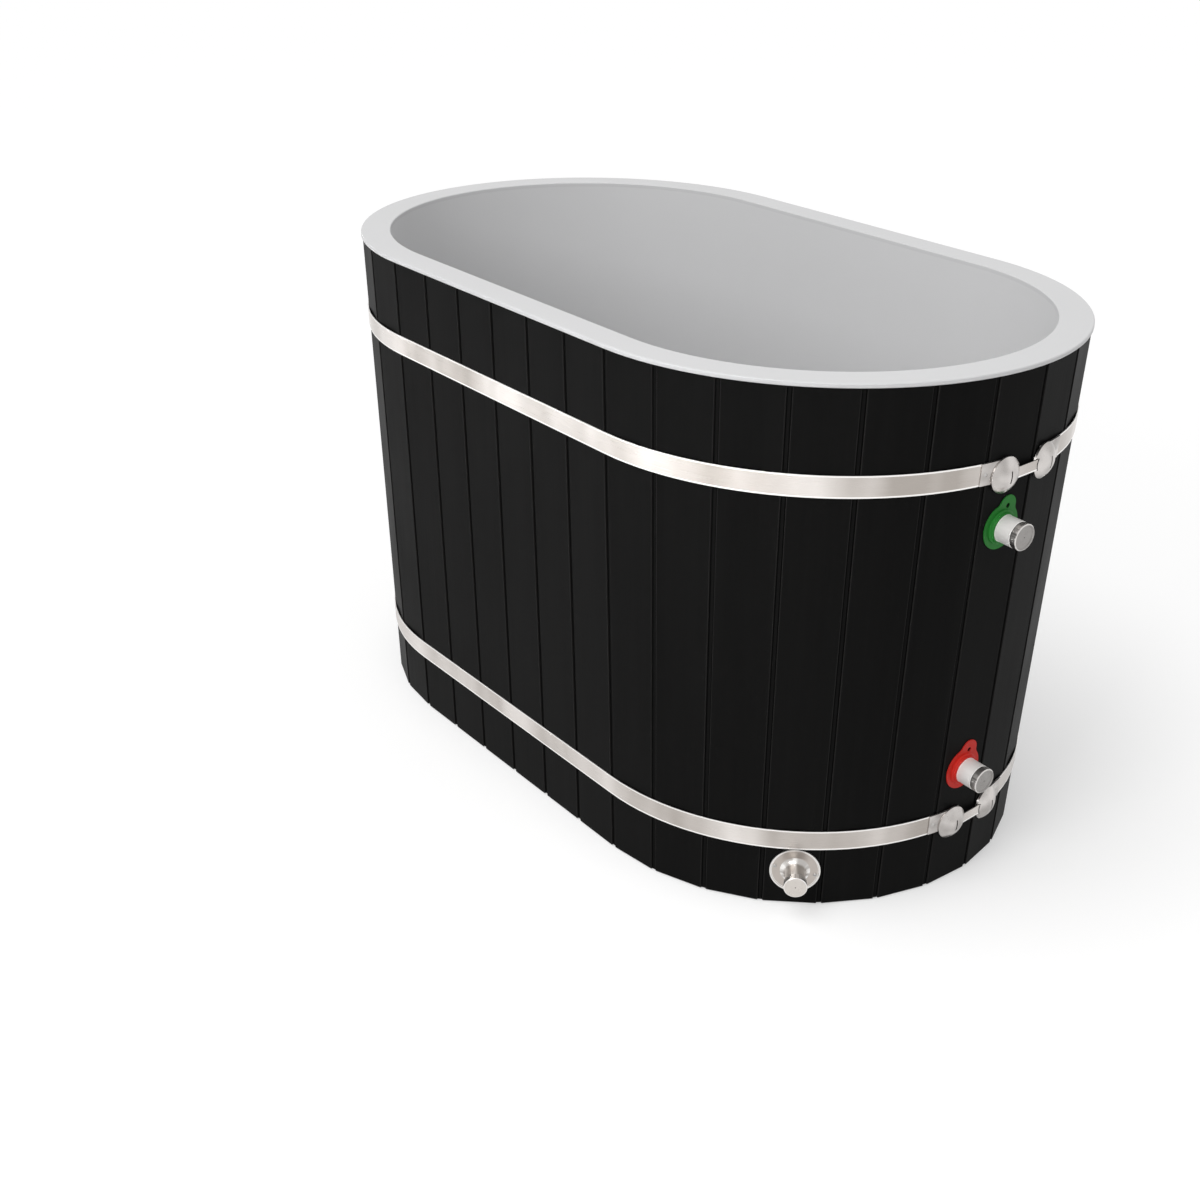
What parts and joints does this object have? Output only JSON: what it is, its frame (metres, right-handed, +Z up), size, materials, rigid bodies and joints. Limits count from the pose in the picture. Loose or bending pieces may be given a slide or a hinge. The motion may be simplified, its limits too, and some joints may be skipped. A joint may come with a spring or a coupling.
{
  "type": "barrel cold plunge tub",
  "caption": "Oval barrel cold plunge tub: moulded liner clad in tapered staves, hoops closed by domed lugs, capped pipe stubs and a low drain.",
  "frame": {"origin": "on the ground under the middle of the oval, on the centre bearer's underside", "axes": "+X along the oval towards the pipe connections, +Y to the far side, +Z up"},
  "size_m": [1.6728, 0.961, 1],
  "materials": {
    "stave": "satin",
    "liner": "satin",
    "foam": "matte",
    "plywood": "matte",
    "fastener": "satin",
    "hoop": "satin",
    "lug": "satin",
    "pipe": "satin",
    "drain_metal": "polished",
    "gasket": "matte",
    "green_plastic": "satin",
    "red_plastic": "satin"
  },
  "bodies": {
    "tub": {"front_stave_1": "stave", "back_stave_1": "stave", "front_stave_2": "stave", "back_stave_2": "stave", "front_stave_3": "stave", "back_stave_3": "stave", "front_stave_4": "stave", "back_stave_4": "stave", "front_stave_5": "stave", "back_stave_5": "stave", "front_stave_6": "stave", "back_stave_6": "stave", "left_end_staves": "stave", "right_end_staves": "stave", "connection_stave": "stave", "drain_stave": "stave", "inner_tub": "liner", "insulation_jacket": "foam", "floor_panel": "plywood", "floor_bearer_1": "plywood", "floor_bearer_2": "plywood", "floor_bearer_3": "plywood", "bearer_screws": "fastener", "upper_hoop": "hoop", "upper_near_lug": "lug", "upper_far_lug": "lug", "upper_tie_strap": "hoop", "upper_stub": "pipe", "upper_gasket": "gasket", "upper_strainer": "pipe", "upper_tag": "green_plastic", "upper_lock_ring": "green_plastic", "lower_hoop": "hoop", "lower_near_lug": "lug", "lower_far_lug": "lug", "lower_tie_strap": "hoop", "lower_stub": "pipe", "lower_gasket": "gasket", "lower_strainer": "pipe", "lower_tag": "red_plastic", "lower_lock_ring": "red_plastic", "lug_pins": "fastener", "lug_rivets": "fastener", "drain_body": "drain_metal", "drain_outer_gasket": "gasket", "drain_inner_gasket": "gasket", "drain_lock_nut": "drain_metal", "drain_strainer": "drain_metal", "drain_screws": "fastener"},
    "upper_seal": {"upper_plug_seal": "gasket"},
    "upper_plug": {"upper_plug": "pipe"},
    "lower_seal": {"lower_plug_seal": "gasket"},
    "lower_plug": {"lower_plug": "pipe"},
    "drain_seal": {"drain_cap_seal": "gasket"},
    "drain_cap": {"drain_cap": "drain_metal"}
  },
  "joints": [
    {"name": "upper_plug_travel", "type": "slide", "parent": "tub", "child": "upper_seal", "axis": [0.9994, 0, -0.0358], "range_m": [0, 0.01386]},
    {"name": "upper_plug_turn", "type": "hinge", "parent": "upper_seal", "child": "upper_plug", "pos_m": [0.84831, 0, 0.71732], "axis": [0.9994, 0, -0.0358], "range_deg": [0, 2160]},
    {"name": "lower_plug_travel", "type": "slide", "parent": "tub", "child": "lower_seal", "axis": [0.9994, 0, -0.0358], "range_m": [0, 0.01386]},
    {"name": "lower_plug_turn", "type": "hinge", "parent": "lower_seal", "child": "lower_plug", "pos_m": [0.83118, 0, 0.23932], "axis": [0.9994, 0, -0.0358], "range_deg": [0, 2160]},
    {"name": "drain_cap_travel", "type": "slide", "parent": "tub", "child": "drain_seal", "axis": [0.748, -0.6627, -0.0358], "range_m": [0, 0.01156]},
    {"name": "drain_cap_turn", "type": "hinge", "parent": "drain_seal", "child": "drain_cap", "pos_m": [0.70705, -0.32035, 0.07428], "axis": [0.748, -0.6627, -0.0358], "range_deg": [0, 1800]}
  ],
  "couplings": [
    {"joint": "upper_plug_travel", "follows": "upper_plug_turn", "m_per_rad": 0.0003675},
    {"joint": "lower_plug_travel", "follows": "lower_plug_turn", "m_per_rad": 0.0003675},
    {"joint": "drain_cap_travel", "follows": "drain_cap_turn", "m_per_rad": 0.0003675}
  ]
}
